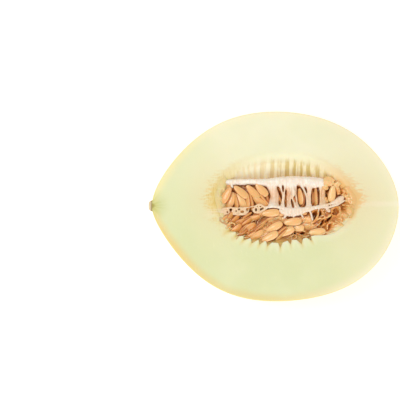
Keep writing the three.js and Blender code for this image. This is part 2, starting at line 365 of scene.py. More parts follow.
def rind_material():
    """Waxy yellow skin: mottled, with paler specks, and greenish round the stem."""
    s = Shader("melon_rind")
    blotches = s.noise(22, detail=3, stretch=(2, 1, 1))
    specks = s.noise(1.3)
    color = s.over(
        s.mix(s.step(blotches, 0.35, 0.68), (255, 190, 0), (255, 212, 22)),
        (s.step(specks, 0.6, 0.78, 0, 0.25), (255, 226, 96)),
        (s.step(s.attribute("stem"), 0, 1, 0, 0.7), (214, 206, 96)),
    )
    fold = s.noise(7, detail=3, stretch=(3.2, 1, 1))
    s.bump(s.plus(fold, s.times(specks, 0.12)), 0.35, 0.5)
    roughness = s.step(blotches, 0.3, 0.7, 0.26, 0.36)
    return s.finish(color, roughness, Subsurface_Weight=0.12, Subsurface_Scale=0.002, Specular_IOR_Level=0.5)


def plain_flesh(s):
    """Cream on the side of the open wall, greener on the other side and towards the stem."""
    cloud = s.noise(26)
    to_rind = s.attribute("to_rind")
    # Under the rind it turns yellowish, least at the blossom end.
    under_rind = s.over(
        s.mix(s.ramp("Y", -30, 25), (232, 212, 144), (253, 242, 204)),
        (s.ramp("X", -10, 70), (250, 240, 206)),
        (s.ramp("X", -40, -75), s.mix(s.ramp("Y", -20, 10), (240, 207, 126), (250, 236, 176))),
    )
    return s.over(
        s.mix(s.ramp("Y", 60, -40), (248, 243, 208), (225, 228, 177)),
        (s.step(cloud, 0.35, 0.7, 0, 0.4), (236, 236, 192)),
        (s.ramp("X", -35, -80, 0, 0.5), (222, 226, 172)),
        (s.ramp("X", 25, 85, 0, 0.6), (246, 238, 198)),
        (s.step(s.ragged(to_rind, cloud, 4), 8, 0.8, 0, 0.75), under_rind),
        (s.step(to_rind, 1, 0.3, 0, 0.4), (250, 224, 150)),
    )


def with_stem_rays(s, color):
    """Green fibres fan out over the flesh from the stem, and close to it the flesh is olive."""
    stem = s.attribute("stem")
    wave = s.times(s.attribute("fan"), 19)
    sway = s.times(s.math("SINE", s.times(wave, 0.31)), 2)
    ray = s.step(s.math("SINE", s.plus(wave, sway)), -1, 1, 0.65, 0.9)
    color = s.mix(s.times(s.math("POWER", stem, 1.6), ray), color, (186, 190, 84))
    return s.mix(s.step(stem, 0.8, 0.92), color, (178, 164, 84))


def with_vein(s, color):
    """A pale vein runs on from the cavity to the blossom end."""
    vein = s.times(s.step(s.away("Y", VEIN_Y), 3.4, 0.4), s.ramp("X", 56, 66), 0.45)
    return s.mix(vein, color, (255, 244, 218))


def end_tan(s):
    """The tan at the ends of the cavity, in arcs at the stem end."""
    arc = s.noise(1.0, stretch=(1, 5, 1))
    at_stem = s.mix(s.step(arc, 0.42, 0.62), (236, 206, 128), (226, 188, 94))
    return s.mix(s.ramp("X", 0, 50), at_stem, (241, 192, 122))


def with_cavity_fade(s, color, end, tan):
    """A wide, faint warmth at both ends of the cavity, and over it a tan fade in streaks."""
    to_rim = s.attribute("to_rim")
    color = s.mix(s.times(s.step(to_rim, 32, 4, 0, 0.35), end), color, (236, 208, 156))
    streak = s.noise(1.6, detail=4, stretch=(3, 1, 1), distortion=0.6)
    upper_half = s.math("MAXIMUM", s.ramp("Y", -4, 7, 0.3, 1), s.ramp("X", 20, -10, 0, 1.1))
    reach = s.plus(2.5, s.times(end, upper_half, s.step(streak, 0.3, 0.7, 1, 13)))
    fade = s.math("SUBTRACT", 1, s.math("DIVIDE", to_rim, reach))
    strength = s.plus(0.03, s.times(end, 0.87))
    return s.mix(s.times(s.step(fade, 0, 1), strength), color, tan)


def open_wall_color(s, fine):
    """Olive-tan grooves between cream ridges, plainer towards the stem."""
    hollow = s.mix(s.ramp("X", -25, 20), (252, 238, 196), (218, 195, 122))
    ridge = s.mix(s.ramp("X", -25, 20), (255, 247, 214), (251, 240, 200))
    return s.mix(s.step(s.ragged(s.attribute("crest"), fine, 2.4), -0.7, 0.7), hollow, ridge)


def flesh_material():
    """Pale green flesh, cream under the rind and tan in the folds of the cavity."""
    s = Shader("melon_flesh")
    depth = s.attribute("depth")
    end = s.attribute("end")
    tan = end_tan(s)
    fine = s.noise(1.3, stretch=(1, 5, 5))
    grain = s.noise(2.2, detail=3)
    color = with_vein(s, with_stem_rays(s, plain_flesh(s)))
    color = with_cavity_fade(s, color, end, tan)
    color = s.mix(s.step(s.ragged(depth, fine, 7), 0.4, 6, 0, 0.95), color, open_wall_color(s, fine))
    color = s.mix(s.times(s.step(depth, 0, 1), s.step(end, 0.5, 0.8)), color, tan)
    # Pale teeth at the lower rim, and tan notches between them, browner further down as painted shade.
    color = s.mix(s.times(s.attribute("tooth"), 0.6), color, (246, 242, 208))
    notch_tan_and_shade = s.mix(s.step(depth, 0, 2.6), (230, 206, 134), (215, 168, 88))
    color = with_seam_fibres(s, s.mix(s.attribute("notch"), color, notch_tan_and_shade))
    s.bump(s.plus(grain, s.times(fine, s.step(depth, 0, 4))), 0.2, 0.35)
    return s.finish(
        color,
        s.step(grain, 0.3, 0.7, 0.42, 0.54),
        Subsurface_Weight=0.35,
        Subsurface_Scale=0.004,
        Subsurface_Radius=(1.0, 0.85, 0.5),
        Specular_IOR_Level=0.3,
    )


def scar_material():
    """The dry end of the stem: corky, pale at its tip and grey-brown behind it."""
    s = Shader("stem_scar")
    cork = s.noise(1.2, detail=4)
    from_tip = s.ramp("X", STEM_SCAR_TIP_X + 1.1, STEM_SCAR_TIP_X + 2.1)
    color = s.mix(from_tip, (242, 220, 180), (172, 150, 104))
    color = s.mix(s.step(cork, 0.35, 0.65, 0, 0.4), color, (204, 184, 140))
    s.bump(cork, 0.5, 0.8)
    return s.finish(color, 0.75)


WET_COAT = {"Coat_Weight": 0.35, "Coat_Roughness": 0.12}


def pulp_material():
    """Wet pulp: orange, with painted shade that darkens its low places and most of all its holes, tan at the
    lower rim and pale at the stem end.
    """
    s = Shader("wet_pulp")
    end = s.attribute("end")
    height = s.attribute("height")
    streak = s.noise(1.7, detail=3, stretch=(4, 1, 1), distortion=0.4)
    blotches = s.noise(6, detail=3)
    streaked = s.step(streak, 0.3, 0.7)
    blossom_half = s.ramp("X", 0, 20)
    # Painted shade: the low places of the pulp are a darker brown-orange, and the raised ones are laid over
    # in brighter orange below.
    hollow = s.mix(s.step(blotches, 0.35, 0.65), (172, 96, 38), (204, 128, 58))
    hollow = s.mix(s.ramp("X", -34, -39), hollow, (196, 154, 74))
    at_stem = s.mix(streaked, (230, 190, 116), (244, 222, 170))
    at_blossom = s.mix(streaked, (222, 142, 64), (238, 176, 102))
    # The skin of its outer edge passes into the flesh.
    outer = s.over(
        (238, 222, 164),
        (s.step(s.away("X", CAVITY_RIM_X), 30, 44), s.mix(blossom_half, (232, 206, 140), (240, 190, 122))),
        (s.times(s.ramp("Y", -5, -12), blossom_half), (238, 222, 168)),
    )
    edge = s.step(s.ragged(s.attribute("out"), streak, 0.25), 0.8, 1, 0, 0.9)
    color = s.over(
        hollow,
        (s.step(height, -1.1, 0.5), s.mix(streaked, (226, 144, 62), (242, 180, 102))),
        # Painted shade: deepest in the holes the pulp turns dark brown.
        (s.step(height, -1.8, -4), (156, 80, 30)),
        (s.attribute("rim"), (226, 190, 118)),
        (s.step(end, 0.15, 0.7), s.mix(blossom_half, at_stem, at_blossom)),
        (s.step(end, 0.75, 1, 0, 0.55), s.mix(blossom_half, (232, 202, 134), (233, 177, 106))),
        (s.times(edge, s.step(end, 0.6, 1)), outer),
    )
    s.bump(s.plus(streak, blotches), 0.4, 0.5)
    color = with_seam_fibres(s, color)
    return s.finish(color, 0.38, Subsurface_Weight=0.3, Subsurface_Scale=0.003, **WET_COAT)


def seed_material():
    """Tan seeds with a paler margin and a dark brown outer edge of painted shade where they meet, in a thin
    wet coat.
    """
    s = Shader("wet_seed")
    edge = s.attribute("edge")
    grain = s.noise(0.9, detail=3)
    # The seeds towards the stem are browner, most of all below the seam.
    over_seam = s.times(s.ramp("Y", -4, 4), s.ramp("X", 6, -6), 0.2)
    lower_left = s.times(s.ramp("Y", -2, -8), s.ramp("X", -4, -22), 0.6)
    body = s.over(
        s.mix(s.attribute("tone"), (232, 158, 80), (255, 206, 138)),
        (s.step(grain, 0.35, 0.75, 0, 0.3), (255, 212, 150)),
        (over_seam, (226, 148, 72)),
        (lower_left, (222, 142, 54)),
        (s.step(edge, 0.6, 0.8, 0, 0.35), (255, 210, 146)),
        # Painted shade: the outermost edge and the tips turn dark brown, standing for the shadow in the gaps
        # between seeds.
        (s.step(edge, 0.8, 1, 0, 0.85), (178, 88, 24)),
        (s.step(s.attribute("point"), 0.75, 1, 0, 0.4), (244, 206, 156)),
    )
    s.bump(grain, 0.12, 0.5)
    return s.finish(body, 0.36, Subsurface_Weight=0.25, Subsurface_Scale=0.0012, **WET_COAT)


def tissue_material():
    """Pale pink and white tissue, streaked along the strands, with painted shade that turns it darker tan
    where it hangs lower.
    """
    s = Shader("pale_tissue")
    streak = s.noise(1.1, detail=3, stretch=(1, 5, 1), distortion=0.2)
    # The strands between band and seam are darker than both.
    strung = s.step(s.away("Y", STRANDS_Y), 8.5, 4.5)
    peach = s.mix(s.ramp("X", 31, 36), (248, 206, 164), (246, 192, 128))
    peach_share = s.times(s.ramp("X", 31, 36, 0.45, 0.8), s.ramp("X", 45, 42))
    streaked = s.times(s.step(streak, 0.42, 0.72), s.plus(0.28, s.times(strung, 0.35)))
    # Tan round the seam's holes at the stem end, and more and more of it towards the blossom end.
    web = s.times(s.ramp("X", -2, -10), s.ramp("Y", 6, 3), 0.75)
    seam_end = s.times(s.ramp("X", 24, 48, 0.36, 0.6), s.ramp("Y", 9, 6), s.ramp("X", -2, 4))
    color = s.over(
        s.mix(s.step(s.noise(6), 0.35, 0.65), (255, 242, 226), (254, 234, 214)),
        (s.times(strung, peach_share), peach),
        (streaked, (232, 184, 140)),
        (web, (240, 192, 138)),
        # Painted shade: the lower the tissue hangs below its top, the darker tan it is.
        (s.step(s.attribute("deep"), 1.2, 4.5), (226, 162, 106)),
        (seam_end, (238, 202, 162)),
    )
    s.bump(streak, 0.3, 0.5)
    soft = {"Subsurface_Weight": 0.35, "Subsurface_Scale": 0.003, "Subsurface_Radius": (1.0, 0.75, 0.55)}
    return s.finish(color, 0.42, **soft, **WET_COAT)


def stringy_material():
    """Orange pulp in strings, lumps and loops, with painted shade that darkens it lower down."""
    s = Shader("stringy_pulp")
    streak = s.noise(1.6, detail=3, distortion=0.3)
    color = s.over(
        s.mix(s.step(streak, 0.35, 0.65), (232, 154, 78), (246, 196, 130)),
        # Painted shade: the deeper the pulp lies under the tissue's top, the darker brown it is.
        (s.step(s.attribute("deep"), 2.5, 7, 0, 0.9), (178, 98, 40)),
        (s.ramp("X", 52, 62, 0, 0.75), (234, 186, 116)),
        (s.times(s.ramp("Y", 12, 16), s.ramp("X", 30, 34), 0.7), (248, 206, 142)),
        (s.ramp("X", -35, -39), (238, 204, 146)),
    )
    s.bump(streak, 0.3, 0.5)
    return s.finish(color, 0.36, Subsurface_Weight=0.35, Subsurface_Scale=0.003, **WET_COAT)


def filament_material():
    """Thin wet threads over the seeds."""
    s = Shader("wet_threads")
    color = s.mix(s.step(s.noise(3), 0.35, 0.65), (236, 176, 110), (250, 220, 176))
    return s.finish(color, 0.4, Subsurface_Weight=0.3, Subsurface_Scale=0.002)


# The fruit


def fruit_radius(t, angle):
    """The radius at t along the fruit and at an angle round it: 0 is +Y, pi / 2 is down, pi is -Y."""
    both = (SERIES_PLUS_Y, SERIES_MINUS_Y)
    plus, minus = (sum(c * np.cos(k * t) for k, c in enumerate(series)) for series in both)
    lobe = LOBE_DEPTH * np.sin(t) * np.sin(angle) ** 2 * np.cos(LOBES * angle)
    return np.sin(t) * (mix(plus, minus, (1 - np.cos(angle)) / 2) + lobe)


def oblong(angle, half_length, half_width, power_x, power_y):
    x = half_length * np.sign(np.cos(angle)) * np.abs(np.cos(angle)) ** power_x
    y = half_width * np.sign(np.sin(angle)) * np.abs(np.sin(angle)) ** power_y
    return x, y


def rim_half_length(side, rise):
    """The rim's half length on the side of x that is asked for, at a share of the half width."""
    blossom = mix(RIM_LENGTH_BLOSSOM, RIM_LENGTH_OPEN_SIDE, smooth_step(0, 0.5, rise))
    return np.where(side < 0, RIM_LENGTH_STEM, blossom)


def rind_points(along, round_):
    """The rind as a grid: rows along the fruit, columns round it from +Y under it to -Y."""
    t = np.linspace(0, math.pi, along + 1)[:, None]
    angle = np.linspace(0, math.pi, round_ + 1)[None, :]
    radius = fruit_radius(t, angle)
    x = BODY_MIDDLE_X - BODY_HALF_LENGTH * np.cos(t)
    where = xyz(x, radius * np.cos(angle), radius * np.sin(angle))
    folds = 1 - 2 * np.abs(ripple(where, (60, 14, 14), 1))
    soft = ripple(where, (40, 22, 22), 2)
    radius = radius + WRINKLE_DEPTH * np.sin(angle) * np.sin(t) * (0.5 * folds + soft - 0.6)
    points = xyz(x, radius * np.cos(angle), np.maximum(CUT_HEIGHT - radius * np.sin(angle), 0))
    points[:, [0, -1], 2] = CUT_HEIGHT
    return points


# The notches in the lower rim, as x, half width and how far the tip lies outside a plain oval rim.
NOTCHES = [
    (-31.7, 2.7, 4.4),
    (-26.8, 2.5, 3.6),
    (-21.8, 2.3, 2.8),
    (-16.2, 2.5, 2.1),
    (-10.8, 2.5, 0.9),
    (-4.9, 2.5, 1.2),
    (4.5, 1.9, 1.6),
    (12.5, 2.2, -1.2),
    (20.9, 3, -0.6),
    (29, 2.2, -1.6),
]


def notch_shape(x, angle):
    """The lower rim's offset outwards: rounded teeth of flesh, with a pointed notch between two."""
    places, half_widths, reaches = np.array(NOTCHES).T
    low_side = smooth_step(0.15, 0.6, -np.sin(angle)) * smooth_step(46, 32, x)
    away = np.abs(x[..., None] - places) / half_widths
    sharp = np.clip(1 - away, 0, 1).max(axis=-1) ** 1.2
    base = np.interp(x, places, reaches) - NOTCH_LENGTH
    return low_side * (base + sharp * NOTCH_LENGTH), low_side * sharp


def cavity_points(angle, rows):
    """The cavity's wall from its rim down, as points and the attributes that its colours need."""
    share = (np.linspace(0, 1, rows + 1) ** 1.6)[:, None]
    bend = share * math.pi / 2
    angle = angle[None, :]
    rise = np.sin(angle)
    endwise = np.abs(np.cos(angle))
    slope = OPEN_WALL_SLOPE * np.clip(rise, 0, 1) ** 0.7
    reach = mix(np.cos(bend) ** 0.8, 1 - np.sin(bend), slope)
    half_length = rim_half_length(np.cos(angle), rise)
    dx, dy = oblong(angle, half_length, CAVITY_HALF_WIDTH, 0.9, 1.1)
    size = np.hypot(dx, dy)
    x = CAVITY_RIM_X + dx * reach
    depth = CAVITY_DEPTH * np.sin(bend)
    foot = (1 - WALL_FOOT_SLOPE) * smooth_step(0, 0.5, rise)
    depth = depth - foot * np.maximum(depth - WALL_FOOT_DEPTH, 0)
    # The ridges of the wall, uneven in pitch and height.
    rim_x = CAVITY_RIM_X + dx
    line = xyz(rim_x, 0, 0)
    sway = ripple(line, (14, 1, 1), 8)
    wave = np.cos(2 * np.pi * x / RIDGE_PITCH + 4.2 * sway) * (1 + 1.5 * ripple(line, (9, 1, 1), 10))
    small = np.cos(2 * np.pi * x / (RIDGE_PITCH * 0.37) + 2 * np.sin(x / 5))
    wave = wave + 0.3 * small
    ridges = RIDGE_HEIGHT * np.abs(rise) * smooth_step(1, 13, depth) * wave
    ridges = ridges * mix(0.5, 1, smooth_step(-25, 15, x))
    # The rounded lip, and the notches and teeth of the lower rim.
    lip = mix(LIP_LOWER, LIP_UPPER, smooth_step(-0.3, 0.5, rise)) + 1.5 * endwise**4
    rounding = lip * (1 - np.sqrt(np.clip(1 - np.clip(1 - depth / lip, 0, 1) ** 2, 0, 1)))
    offset, sharp = notch_shape(rim_x, angle)
    notched = np.maximum(offset, 0) * np.clip(1 - depth / NOTCH_FALL, 0, 1) ** 1.3
    toothed = np.minimum(offset, 0) * np.clip(1 - depth / TOOTH_FALL, 0, 1) ** 1.4
    push = (ridges + rounding + notched + toothed) * np.minimum(1, reach * 1.5)
    middle_y = mix(CAVITY_RIM_Y, CAVITY_DEEPEST_Y, np.sin(bend))
    points = xyz(x + dx / size * push, middle_y + dy * reach + dy / size * push, CUT_HEIGHT - depth)
    crest = np.clip(-wave, -1, 1) * (0.3 + 0.7 * np.abs(rise))
    # The notch mask also covers the lower wall below a few millimetres. It carries the notches' tan and the
    # painted shade that browns them with depth.
    low_side = smooth_step(-0.05, 0.35, -rise)
    return points, depth, crest, np.maximum(sharp, low_side * smooth_step(0.6, 3.5, depth))


def nearest(points, outline):
    """How far each point lies in plan from the nearest point of an outline."""
    gaps = []
    for part in np.array_split(points.reshape(-1, 3)[:, :2], NEAREST_PARTS):
        pairs = part[:, None] - outline[None, :, :2]
        gaps.append(np.linalg.norm(pairs, axis=2).min(axis=1))
    return np.concatenate(gaps).reshape(points.shape[:-1])


def melon_body(rind, flesh):
    """Rind, cut face and cavity as one closed skin."""
    skin = rind_points(BODY_ROWS, BODY_COLUMNS)
    outline = np.concatenate([skin[:, 0], skin[-2:0:-1, -1]])
    # The direction in the cavity that each place on the outline faces.
    around = np.arctan2(
        (outline[:, 1] - CAVITY_RIM_Y) / CAVITY_HALF_WIDTH / FACING_SCALE_Y,
        (outline[:, 0] - CAVITY_RIM_X) / CAVITY_HALF_LENGTH / FACING_SCALE_X,
    )
    wall, depth, crest, notch = cavity_points(around, WALL_ROWS)
    rim = wall[0]
    share = (np.linspace(0, 1, FACE_ROWS + 1) ** 1.3)[::-1, None, None]
    face = mix(rim[None], outline[None], share)
    face[0] = outline
    face[-1] = rim
    grids = [skin, face, wall]
    points = np.concatenate([grid.reshape(-1, 3) for grid in grids])
    starts = np.cumsum([0] + [grid[..., 0].size for grid in grids])
    faces = [grid_faces(*g.shape[:2], g is not skin) + start for g, start in zip(grids, starts)]
    kind = np.repeat([0, 1, 1], [len(f) for f in faces])

    def on_parts(*values):
        """A value for each point, from one value or a grid for the skin, the face and the wall."""
        return np.concatenate([np.broadcast_to(v, g.shape[:2]).ravel() for v, g in zip(values, grids)])

    near_notch = 0.75 * notch[0] * np.clip(1 - nearest(face, rim) / NOTCH_FADE, 0, 1)
    below = smooth_step(0.3, 0.7, -np.sin(around)) * (1 - notch[0])
    tooth = below * np.clip(1 - nearest(face, rim) / TOOTH_FADE, 0, 1)
    end = np.abs(np.cos(around)) ** 3
    tip = np.linalg.norm(points - np.array([STEM_SCAR_TIP_X + 3, 0, CUT_HEIGHT]), axis=1)
    attributes = {
        "to_rind": on_parts(0, nearest(face, outline), nearest(wall, outline)),
        "to_rim": on_parts(50, nearest(face, rim), 0),
        "depth": on_parts(0, 0, depth),
        "crest": on_parts(0, 0, crest),
        "notch": on_parts(0, near_notch, notch),
        "tooth": on_parts(0, tooth, below),
        "end": on_parts(0, end, end),
        "stem": np.clip(1 - tip / STEM_TINT_REACH, 0, 1),
        "fan": np.arctan2(points[:, 1], points[:, 0] - STEM_SCAR_TIP_X),
    }
    faces = np.concatenate(faces)
    body = mesh_object("melon_body", points, faces, attributes, [rind, flesh], kind, merge=MERGE_GAP)
    body.data.set_sharp_from_angle(angle=math.radians(SHARP_ANGLE))
    return body


def stem_scar(material):
    """Half of the corky knob that the stem leaves, cut with the fruit."""
    rows, columns = 24, 28
    t = np.linspace(0, math.pi, rows + 1)[:, None]
    angle = np.linspace(0, math.pi, columns + 1)[None, :]
    top_z = CUT_HEIGHT - SCAR_DROP
    radius = STEM_SCAR_RADIUS * np.sqrt(np.sin(t))
    x = STEM_SCAR_TIP_X + STEM_SCAR_LENGTH / 2 * (1 - np.cos(t))
    smooth = xyz(x, radius * np.cos(angle), -radius * np.sin(angle))
    radius = radius * (1 + 0.09 * ripple(smooth, (1.8, 1.8, 1.8), 3))
    points = xyz(x, radius * np.cos(angle), top_z - radius * np.sin(angle))
    points[:, [0, -1], 2] = top_z
    flat_top = points[:, [0, -1]]
    both = np.concatenate([points.reshape(-1, 3), flat_top.reshape(-1, 3)])
    round_faces = grid_faces(rows + 1, columns + 1, False)
    top_faces = grid_faces(rows + 1, 2, False) + points[..., 0].size
    faces = np.concatenate([round_faces, top_faces])
    scar = mesh_object("stem_scar", both, faces, materials=[material], merge=MERGE_GAP)
    scar.data.set_sharp_from_angle(angle=math.radians(SHARP_ANGLE))
    return scar


# The pulp and the seeds


def rim_share(x, y):
    """How far out a place lies in the cavity: 0 in its middle, 1 at its rim."""
    rise = (y - CAVITY_RIM_Y) / CAVITY_HALF_WIDTH
    return np.hypot((x - CAVITY_RIM_X) / rim_half_length(x - CAVITY_RIM_X, rise), rise)


def end_share(x, y):
    """From 0 to 1 where the pulp turns to flesh, at the stem end and at the blossom end."""
    blossom_from = mix(33, 47, smooth_step(4, 16, y))
    ends = smooth_step(-28, -38, x) + smooth_step(blossom_from, blossom_from + 10, x)
    near_rim = smooth_step(0.8, 1.0, rim_share(x, y)) * ends
    return np.maximum(smooth_step(-37, -44, x) + smooth_step(52, 62, x), near_rim)


def pulp_top(x, y):
    """The height of the pulp: low beside the open wall, and level with the flesh at both ends."""
    across = np.abs(y - PULP_MIDDLE_Y) / PULP_HALF_WIDTH
    drop = mix(PULP_STEM_DROP, PULP_UPPER_DROP, smooth_step(-12, 4, x))
    side = np.where(y > PULP_MIDDLE_Y, -drop * across**6, PULP_LOWER_RISE * across**3)
    side = side + BLOSSOM_RISE * smooth_step(22, 31, x) * smooth_step(2, -2, y) * smooth_step(-18, -14, y)
    side = side + LOWER_RIM_RISE * smooth_step(0.84, 1.02, rim_share(x, y)) * smooth_step(-6, -14, y)
    return mix(PULP_TOP + side, CUT_HEIGHT - PULP_END_GAP, end_share(x, y))


# The holes in the pulp, painted dark as shade, as x, y, half length, half width, heading and depth.
PULP_HOLES = [
    (31, -7.2, 3, 1.8, 66, 4.6),
    (35.2, -5.8, 2.1, 1.1, 84, 4.6),
    (36.8, -12.6, 2.5, 0.9, 60, 4.6),
    (42.2, -9.7, 2.6, 0.9, 50, 4.6),
    (39.4, -11.8, 1, 0.7, 80, 3),
    (45.7, -5.8, 1.1, 0.8, -40, 3.4),
    (48, -4.2, 2.8, 1.9, -60, 2.2),
    (53, -1.8, 2.8, 1.8, -35, 2.2),
    (57, -6.4, 3, 1.4, -60, 1.8),
    (53.4, -10.4, 2, 0.9, 80, 1.8),
    (42, -16.4, 2.6, 1, 60, 2.2),
    (-39.8, 9.8, 2.6, 1.2, 75, 2.6),
    (21.7, -16.9, 1.7, 1.2, 30, 5),
    (14.9, -21.6, 1.6, 1, 25, 5),
    (21.6, -21.1, 2, 1, 30, 5),
    (19.4, -14.8, 1.4, 0.6, 35, 3),
    (-14.9, -22.3, 1.6, 0.8, 10, 4),
    (-26.7, -13.9, 1.6, 0.8, 20, 4),
    (-9.6, -21, 1.5, 0.9, 30, 3),
    (-38.7, -10.8, 1.7, 1.2, -20, 3),
    (-33.3, -3, 2.4, 1.4, 90, 4),
    (-24.4, -4.4, 2, 1.3, 0, 4),
    (-17.6, -4.6, 2.6, 1.4, 10, 4),
    (-15.6, -6.9, 6, 1, 19, 4),
    (-31, -15.6, 1.8, 0.8, 15, 4),
    (-20, -16, 2.6, 0.8, 35, 4),
    (-6.6, 7.3, 3, 1.5, -70, 4),
    (5, 8.5, 6, 1.3, -62, 3),
    (15.3, 3.5, 3.2, 1.3, -80, 3),
    (23.5, 8, 6, 1.6, -85, 3),
    (30.2, 7, 5.5, 1.2, 90, 3),
    (40.4, 8.6, 2, 0.9, -75, 2),
]
HOLE_LIP = 0.9


def holes_relief(x, y):
    """What the holes take from the pulp's height, each inside a raised lip."""
    relief = 0 * x
    for hole_x, hole_y, half_length, half_width, heading, depth in PULP_HOLES:
        turn = math.radians(heading)
        u = ((x - hole_x) * math.cos(turn) + (y - hole_y) * math.sin(turn)) / half_length
        v = ((y - hole_y) * math.cos(turn) - (x - hole_x) * math.sin(turn)) / half_width
        away = np.hypot(u, v)
        relief = relief - depth * np.exp(-(away**4)) + HOLE_LIP * np.exp(-(((away - 1.6) / 0.4) ** 2))
    return relief


def pulp_bed(material):
    """The mound of pulp: lumpy and full of holes, with fibres that run out to its ends."""
    around, rings = BED_COLUMNS, BED_RINGS
    reach = np.linspace(1, 0.01, rings)[:, None]
    angle = np.linspace(0, 2 * math.pi, around, endpoint=False)[None, :]
    dx, dy = oblong(angle, PULP_HALF_LENGTH, BED_HALF_WIDTH, 0.6, 0.6)
    x = PULP_MIDDLE_X + dx * reach
    y = BED_MIDDLE_Y + dy * reach
    shrink = np.minimum(1, PULP_REACH / np.maximum(rim_share(x, y), 0.01))
    x = CAVITY_RIM_X + (x - CAVITY_RIM_X) * shrink
    y = CAVITY_RIM_Y + (y - CAVITY_RIM_Y) * shrink
    out = rim_share(x, y)
    end = end_share(x, y)
    flat = xyz(x, y, 0)
    lumps = ripple(flat, (5, 3.2, 5), 4) + 0.5 * ripple(flat, (2.2, 1.4, 2), 5)
    fibres = ripple(flat, (14, 1.3, 5), 6)
    relief = mix(1.1 * lumps - 0.5, 0.6 * fibres, smooth_step(0, 0.5, end)) + holes_relief(x, y)
    relief = relief * mix(1, 0.4, smooth_step(0.5, 1, end))
    top = xyz(x, y, np.clip(pulp_top(x, y) + relief, BED_FLOOR, CUT_HEIGHT - PULP_END_GAP))
    middle = np.array([PULP_MIDDLE_X, BED_MIDDLE_Y])
    skirt = top[0].copy()
    skirt[:, :2] = middle + (skirt[:, :2] - middle) * 0.85
    skirt[:, 2] = BED_FLOOR
    middle_low = [[*middle, BED_FLOOR - 2]]
    points = np.concatenate([skirt, top.reshape(-1, 3), top[-1].mean(axis=0)[None], middle_low])
    faces = grid_faces(rings + 1, around, True).tolist()
    last = (rings + 1) * around
    for j in range(around):
        after = (j + 1) % around
        faces.append([rings * around + j, rings * around + after, last])
        faces.append([j, after, last + 1])
    rim = smooth_step(0.74, 0.92, out) * smooth_step(2, -6, y) * smooth_step(36, 26, x)
    attributes = {}
    for key, on_skirt, on_top in (("end", 0, end), ("rim", 0, rim), ("out", 1, out), ("height", 0, relief)):
        attributes[key] = np.concatenate([np.full(around, on_skirt), on_top.ravel(), [0, 0]])
    return mesh_object("pulp_bed", points, faces, attributes, [material])


# The seeds that can be told apart in the photograph, as the place of the middle, the heading of the
# round end, the roll that turns a seed on edge, the pitch and the lift above the pulp.
CLEAR_SEEDS = [
    (-36.6, 14.2, 66, 0, 0, -1.6),
    (-38.2, -11.4, 34, 30, 0, -1.8),
    (-36.6, 8.1, -119, 10, -8, 3.2),
    (-33, 5, -105, 8, -4, 2.2),
    (-29.2, 3.6, -82, 62, 0, 2),
    (-25.4, 4.2, -64, 6, -4, 3.2),
    (-25.3, 10.8, -40, -8, -6, 4.4),
    (-20.6, 3.6, -88, 40, 0, 2.2),
    (-17.4, 3.4, -80, 60, 0, 2.2),
    (-16.2, 10.8, -47, 10, -6, 4.2),
    (-9.4, 12.2, -46, 4, -4, 4.6),
    (-10.9, 3.2, -42, 14, -4, 3),
    (-8, 4.8, -52, 60, -4, 2.6),
    (-5.6, 7.6, -72, 78, 0, 1),
    (4, 7, -66, 80, 0, 0),
    (15.6, 4.4, -76, 70, 0, 0.4),
    (20.4, 7.4, -84, 50, 0, 2.6),
    (22.8, 6.8, -96, 76, 0, 0.6),
    (30.2, 7, -90, 80, 0, -1),
    (32.4, 7.4, -88, 66, 0, 2.2),
    (44.6, 9.4, -98, 4, -6, 4.4),
    (-2.6, -5.4, 4, 4, 3, 4.4),
    (-16.6, -9.5, 12, 48, 4, 2.4),
    (0.1, -16.2, 27, 2, 6, 4.6),
    (-3.3, -23.6, 27, -4, 6, 4),
    (14.2, -12.2, 6, 4, 4, 4.6),
    (9.2, -19.8, 24, -4, 8, 3.4),
    (33, -20, 4, 0, 4, 4),
    (-10.8, -15, 38, 66, 4, 3.4),
    (-12.8, -17.8, 42, 70, 4, 2.6),
    (4.6, -19.8, 42, 72, 4, 3.2),
    (6.2, -21.8, 42, 66, 4, 2.4),
    (-34.4, -10.8, 62, 50, 4, 1.8),
    (-31.4, -12, 46, 50, 4, 1.8),
    (-26.8, -13.4, 24, 30, 4, 1.6),
    (-21.4, -12.8, 36, 55, 4, 2.2),
    (-19.6, -17, 30, 20, 4, 2),
    (-13.6, -22.6, 34, 30, 4, 1.8),
]
CLEAR_OF_OTHERS = 4.2
CLEAR_OF_HOLES = 4.0
OPEN_HOLE_DEPTH = 5

ROW_FIRST_Y = -7.7
ROW_STEP = 5.0
ROW_SLANT = 3
ROW_ENDS = [
    [-33, 20],
    [-34, 22],
    [-30, 27],
    [-24, 30],
]
SEED_STEP = 5.4


def row_seeds(about):
    """Below the seam seeds lie in rows like roof tiles, where no clearer one or open hole is."""
    taken = np.array([s[:2] for s in CLEAR_SEEDS])
    open_holes = np.array([hole[:2] for hole in PULP_HOLES if hole[-1] >= OPEN_HOLE_DEPTH])
    for row, (from_x, to_x) in enumerate(ROW_ENDS):
        steps = round((to_x - from_x) / SEED_STEP)
        for i in range(steps + 1):
            share = i / steps
            x = about(mix(from_x, to_x, share), 1.2)
            y = about(ROW_FIRST_Y - ROW_STEP * row + ROW_SLANT * share, 1.2)
            heading = about(mix(40, -4, share), 14)
            roll = mix(about(60, 24), about(0, 60), smooth_step(-16, -4, x))
            pitch = about(12, 6)
            lift = about(1.0, 1.2)
            from_seeds = np.hypot(*(taken - [x, y]).T).min()
            from_holes = np.hypot(*(open_holes - [x, y]).T).min()
            if from_seeds > CLEAR_OF_OTHERS and from_holes > CLEAR_OF_HOLES:
                yield x, y, heading, roll, pitch, lift


